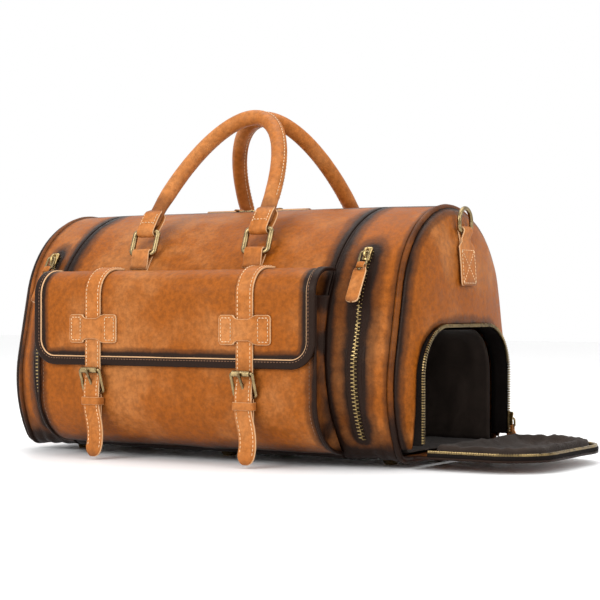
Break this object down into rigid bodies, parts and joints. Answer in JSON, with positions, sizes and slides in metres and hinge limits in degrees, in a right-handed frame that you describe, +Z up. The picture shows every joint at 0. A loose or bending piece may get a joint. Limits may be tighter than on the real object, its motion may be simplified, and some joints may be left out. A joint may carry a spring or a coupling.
{
  "type": "leather weekender bag",
  "caption": "Barrel-shaped leather travel bag with rolled handles on rings, a buckled front flap pocket, zipped sides and an end shoe compartment with its flap open.",
  "frame": {"origin": "middle of the footprint on the floor, with the shoe flap lying open", "axes": "+X along the bag towards the shoe compartment, -Y towards the front pocket, +Z up"},
  "size_m": [0.7054, 0.369, 0.4184],
  "materials": {
    "body_leather": "satin, hand burnished",
    "strap_leather": "satin",
    "dark_leather": "burnished edge",
    "lining_cloth": "woven",
    "zip_cloth": "woven tape",
    "antique_brass": "antique",
    "zip_brass": "antique",
    "board": "matt",
    "core_cord": "twisted cord"
  },
  "bodies": {
    "bag": {"base_panel": "body_leather", "base_board": "board", "front_panel": "body_leather", "rear_panel": "body_leather", "left_band": "body_leather", "right_band": "body_leather", "left_end_panel": "body_leather", "right_end_panel": "body_leather", "seam_piping": "dark_leather", "body_lining": "lining_cloth", "shoe_lining": "lining_cloth", "feet": "antique_brass", "top_zip_tape": "zip_cloth", "side_zip_tapes": "zip_cloth", "zip_teeth": "zip_brass", "front_pocket_face": "body_leather", "front_pocket_sides": "body_leather", "snap_sockets": "antique_brass", "handle_tabs": "strap_leather", "d_ring_tabs": "strap_leather", "shoe_zip_tape": "zip_cloth", "shoe_zip_teeth": "zip_brass"},
    "flap": {"pocket_flap": "body_leather", "flap_binding": "dark_leather", "straps": "strap_leather", "strap_keepers": "strap_leather", "buckle_frames": "antique_brass", "buckle_chapes": "strap_leather", "strap_loops": "strap_leather", "snap_caps": "antique_brass"},
    "front_rings": {"handle_rings_front": "antique_brass"},
    "rear_rings": {"handle_rings_rear": "antique_brass"},
    "front_handle": {"handle_front": "strap_leather", "handle_core_front": "core_cord"},
    "rear_handle": {"handle_rear": "strap_leather", "handle_core_rear": "core_cord"},
    "shoe_flap": {"shoe_flap_panel": "body_leather", "shoe_flap_lining": "lining_cloth", "shoe_flap_teeth": "zip_brass"},
    "shoe_zip_slider": {"shoe_slider": "antique_brass"},
    "shoe_zip_pull": {"shoe_pull_link": "antique_brass", "shoe_pull_tab": "strap_leather"},
    "roller_left": {"buckle_roller_left": "antique_brass"},
    "prong_left": {"buckle_prong_left": "antique_brass"},
    "roller_right": {"buckle_roller_right": "antique_brass"},
    "prong_right": {"buckle_prong_right": "antique_brass"},
    "top_zip_slider_left": {"top_slider_left": "antique_brass"},
    "top_zip_pull_left": {"top_pull_link_left": "antique_brass", "top_pull_tab_left": "strap_leather"},
    "top_zip_slider_right": {"top_slider_right": "antique_brass"},
    "top_zip_pull_right": {"top_pull_link_right": "antique_brass", "top_pull_tab_right": "strap_leather"},
    "side_zip_slider_left": {"side_slider_left": "antique_brass"},
    "side_zip_pull_left": {"side_pull_link_left": "antique_brass", "side_pull_tab_left": "strap_leather"},
    "side_zip_slider_right": {"side_slider_right": "antique_brass"},
    "side_zip_pull_right": {"side_pull_link_right": "antique_brass", "side_pull_tab_right": "strap_leather"},
    "d_ring_left": {"d_ring_left": "antique_brass"},
    "d_ring_right": {"d_ring_right": "antique_brass"}
  },
  "joints": [
    {"name": "flap_lift", "type": "hinge", "parent": "bag", "child": "flap", "pos_m": [-0.0648, -0.1223, 0.21853], "axis": [-1, 0, 0], "range_deg": [0, 100]},
    {"name": "roller_left_spin", "type": "hinge", "parent": "flap", "child": "roller_left", "pos_m": [-0.1708, -0.1761, 0.104], "axis": [1, 0, 0], "continuous": true},
    {"name": "prong_left_lift", "type": "hinge", "parent": "flap", "child": "prong_left", "pos_m": [-0.1708, -0.1679, 0.079], "axis": [1, 0, 0], "range_deg": [0, 70]},
    {"name": "roller_right_spin", "type": "hinge", "parent": "flap", "child": "roller_right", "pos_m": [0.0412, -0.1761, 0.104], "axis": [1, 0, 0], "continuous": true},
    {"name": "prong_right_lift", "type": "hinge", "parent": "flap", "child": "prong_right", "pos_m": [0.0412, -0.1679, 0.079], "axis": [1, 0, 0], "range_deg": [0, 70]},
    {"name": "front_rings_swing", "type": "hinge", "parent": "bag", "child": "front_rings", "pos_m": [-0.0648, -0.10874, 0.23995], "axis": [-1, 0, 0], "range_deg": [-35, 0]},
    {"name": "front_handle_swing", "type": "hinge", "parent": "front_rings", "child": "front_handle", "pos_m": [-0.0648, -0.09917, 0.26626], "axis": [-1, 0, 0], "range_deg": [-110, 0]},
    {"name": "rear_rings_swing", "type": "hinge", "parent": "bag", "child": "rear_rings", "pos_m": [-0.0648, 0.15094, 0.23995], "axis": [1, 0, 0], "range_deg": [-35, 0]},
    {"name": "rear_handle_swing", "type": "hinge", "parent": "rear_rings", "child": "rear_handle", "pos_m": [-0.0648, 0.14137, 0.26626], "axis": [1, 0, 0], "range_deg": [-110, 0]},
    {"name": "top_slider_left_run", "type": "slide", "parent": "bag", "child": "top_zip_slider_left", "axis": [-1, 0, 0], "range_m": [0, 0.18]},
    {"name": "top_pull_left_lift", "type": "hinge", "parent": "top_zip_slider_left", "child": "top_zip_pull_left", "pos_m": [-0.0748, 0.0211, 0.2944], "axis": [0, 1, 0], "range_deg": [0, 90]},
    {"name": "top_slider_right_run", "type": "slide", "parent": "bag", "child": "top_zip_slider_right", "axis": [1, 0, 0], "range_m": [0, 0.18]},
    {"name": "top_pull_right_lift", "type": "hinge", "parent": "top_zip_slider_right", "child": "top_zip_pull_right", "pos_m": [-0.0548, 0.0211, 0.2944], "axis": [0, -1, 0], "range_deg": [0, 90]},
    {"name": "side_slider_left_run", "type": "hinge", "parent": "bag", "child": "side_zip_slider_left", "pos_m": [-0.2868, 0.1206, 0.109], "axis": [1, 0, 0], "range_deg": [0, 39.7]},
    {"name": "side_pull_left_lift", "type": "hinge", "parent": "side_zip_slider_left", "child": "side_zip_pull_left", "pos_m": [-0.2868, -0.10512, 0.238], "axis": [-1, 0, 0], "range_deg": [0, 110]},
    {"name": "side_slider_right_run", "type": "hinge", "parent": "bag", "child": "side_zip_slider_right", "pos_m": [0.1572, 0.1206, 0.109], "axis": [1, 0, 0], "range_deg": [0, 39.7]},
    {"name": "side_pull_right_lift", "type": "hinge", "parent": "side_zip_slider_right", "child": "side_zip_pull_right", "pos_m": [0.1572, -0.10512, 0.238], "axis": [-1, 0, 0], "range_deg": [0, 110]},
    {"name": "d_ring_left_swing", "type": "hinge", "parent": "bag", "child": "d_ring_left", "pos_m": [-0.34651, 0.0211, 0.264], "axis": [0, -1, 0], "range_deg": [0, 140]},
    {"name": "d_ring_right_swing", "type": "hinge", "parent": "bag", "child": "d_ring_right", "pos_m": [0.21691, 0.0211, 0.264], "axis": [0, 1, 0], "range_deg": [0, 140]},
    {"name": "shoe_flap_close", "type": "hinge", "parent": "bag", "child": "shoe_flap", "pos_m": [0.2202, 0.0211, 0.024], "axis": [0, -1, 0], "range_deg": [0, 90]},
    {"name": "shoe_slider_run", "type": "slide", "parent": "bag", "child": "shoe_zip_slider", "axis": [0, 0, 1], "range_m": [0, 0.052]},
    {"name": "shoe_pull_lift", "type": "hinge", "parent": "shoe_zip_slider", "child": "shoe_zip_pull", "pos_m": [0.2202, 0.1371, 0.044], "axis": [1, 0, 0], "range_deg": [0, 90]}
  ]
}
